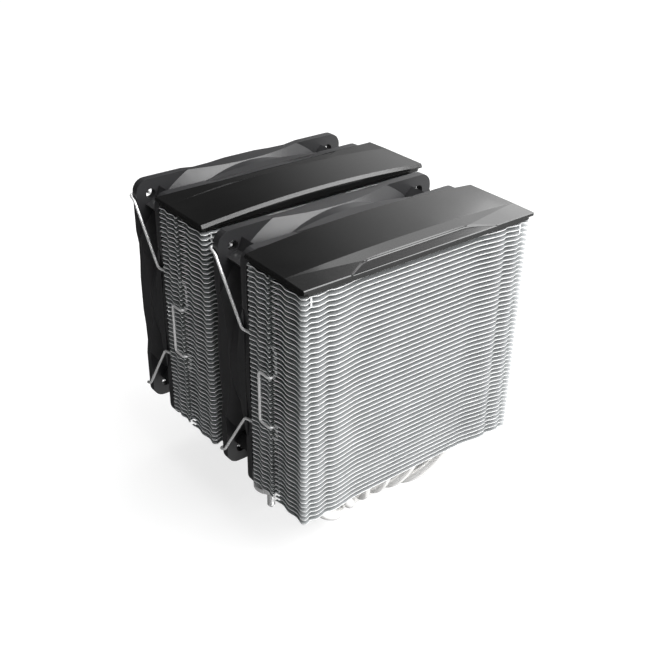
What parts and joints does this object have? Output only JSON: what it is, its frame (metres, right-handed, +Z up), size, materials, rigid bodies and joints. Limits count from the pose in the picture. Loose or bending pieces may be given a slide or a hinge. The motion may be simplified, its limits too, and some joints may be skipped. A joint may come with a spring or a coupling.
{
  "type": "cpu tower cooler",
  "caption": "Twin-tower air cooler for a computer processor: two stacks of thin fins on bent heat pipes with axial fans held by wire clips.",
  "frame": {"origin": "centre of the flat contact face under the cold plate", "axes": "+Z up, away from the processor; +X along the fins; +Y from the front tower to the rear fan, against the air flow"},
  "size_m": [0.1272, 0.14, 0.155],
  "materials": {
    "nickel": "nickel-plated copper, satin",
    "aluminium": "bare aluminium, satin",
    "cover_black": "black, satin gloss",
    "fan_black": "black, fine matt grain",
    "steel": "bright zinc-plated steel",
    "rubber": "matt black rubber",
    "copper": "enamelled copper windings",
    "bronze": "sintered bronze",
    "magnet": "dark bonded ferrite",
    "circuit": "green circuit board"
  },
  "bodies": {
    "cooler": {"cold_plate": "nickel", "pipe_clamp": "aluminium", "mounting_bar": "steel", "bar_bolt_left": "steel", "screw_spring_left": "steel", "bar_bolt_right": "steel", "screw_spring_right": "steel", "heat_pipe_1": "nickel", "heat_pipe_2": "nickel", "heat_pipe_3": "nickel", "heat_pipe_4": "nickel", "heat_pipe_5": "nickel", "heat_pipe_6": "nickel", "fin_stack_front": "aluminium", "cover_front": "cover_black", "cover_tray_front": "cover_black", "fin_stack_rear": "aluminium", "cover_rear": "cover_black", "cover_tray_rear": "cover_black", "fan_frame_middle": "fan_black", "fan_bearing_middle": "bronze", "fan_stator_middle": "copper", "fan_circuit_middle": "circuit", "pad_middle_low_left": "rubber", "pad_middle_low_right": "rubber", "pad_middle_high_left": "rubber", "pad_middle_high_right": "rubber", "fan_frame_rear": "fan_black", "fan_bearing_rear": "bronze", "fan_stator_rear": "copper", "fan_circuit_rear": "circuit", "pad_rear_low_left": "rubber", "pad_rear_low_right": "rubber", "pad_rear_high_left": "rubber", "pad_rear_high_right": "rubber"},
    "rotor_middle": {"impeller_middle": "fan_black", "fan_shaft_middle": "steel", "rotor_magnet_middle": "magnet"},
    "clip_middle_left": {"fan_clip_middle_left": "steel"},
    "clip_middle_right": {"fan_clip_middle_right": "steel"},
    "rotor_rear": {"impeller_rear": "fan_black", "fan_shaft_rear": "steel", "rotor_magnet_rear": "magnet"},
    "clip_rear_left": {"fan_clip_rear_left": "steel"},
    "clip_rear_right": {"fan_clip_rear_right": "steel"},
    "screw_carrier_left": {"screw_ring_left": "steel"},
    "screw_left": {"mounting_screw_left": "steel"},
    "screw_carrier_right": {"screw_ring_right": "steel"},
    "screw_right": {"mounting_screw_right": "steel"}
  },
  "joints": [
    {"name": "impeller_middle_spin", "type": "hinge", "parent": "cooler", "child": "rotor_middle", "pos_m": [0, -0.001, 0.094], "axis": [0, 1, 0], "continuous": true},
    {"name": "clip_middle_left_swing", "type": "hinge", "parent": "cooler", "child": "clip_middle_left", "pos_m": [-0.0525, 0.0115, 0.094], "axis": [0, 0, -1], "range_deg": [0, 16]},
    {"name": "clip_middle_right_swing", "type": "hinge", "parent": "cooler", "child": "clip_middle_right", "pos_m": [0.0525, 0.0115, 0.094], "axis": [0, 0, 1], "range_deg": [0, 16]},
    {"name": "impeller_rear_spin", "type": "hinge", "parent": "cooler", "child": "rotor_rear", "pos_m": [0, 0.07, 0.094], "axis": [0, 1, 0], "continuous": true},
    {"name": "clip_rear_left_swing", "type": "hinge", "parent": "cooler", "child": "clip_rear_left", "pos_m": [-0.0525, 0.0825, 0.094], "axis": [0, 0, -1], "range_deg": [0, 40]},
    {"name": "clip_rear_right_swing", "type": "hinge", "parent": "cooler", "child": "clip_rear_right", "pos_m": [0.0525, 0.0825, 0.094], "axis": [0, 0, 1], "range_deg": [0, 40]},
    {"name": "screw_left_press", "type": "slide", "parent": "cooler", "child": "screw_carrier_left", "axis": [0, 0, -1], "range_m": [0, 0.004], "stiffness_N_per_m": 2000, "springref_m": -0.002, "deforming": ["screw_spring_left"]},
    {"name": "screw_left_turn", "type": "hinge", "parent": "screw_carrier_left", "child": "screw_left", "pos_m": [-0.041, 0, 0.02], "axis": [0, 0, 1], "continuous": true},
    {"name": "screw_right_press", "type": "slide", "parent": "cooler", "child": "screw_carrier_right", "axis": [0, 0, -1], "range_m": [0, 0.004], "stiffness_N_per_m": 2000, "springref_m": -0.002, "deforming": ["screw_spring_right"]},
    {"name": "screw_right_turn", "type": "hinge", "parent": "screw_carrier_right", "child": "screw_right", "pos_m": [0.041, 0, 0.02], "axis": [0, 0, 1], "continuous": true}
  ]
}
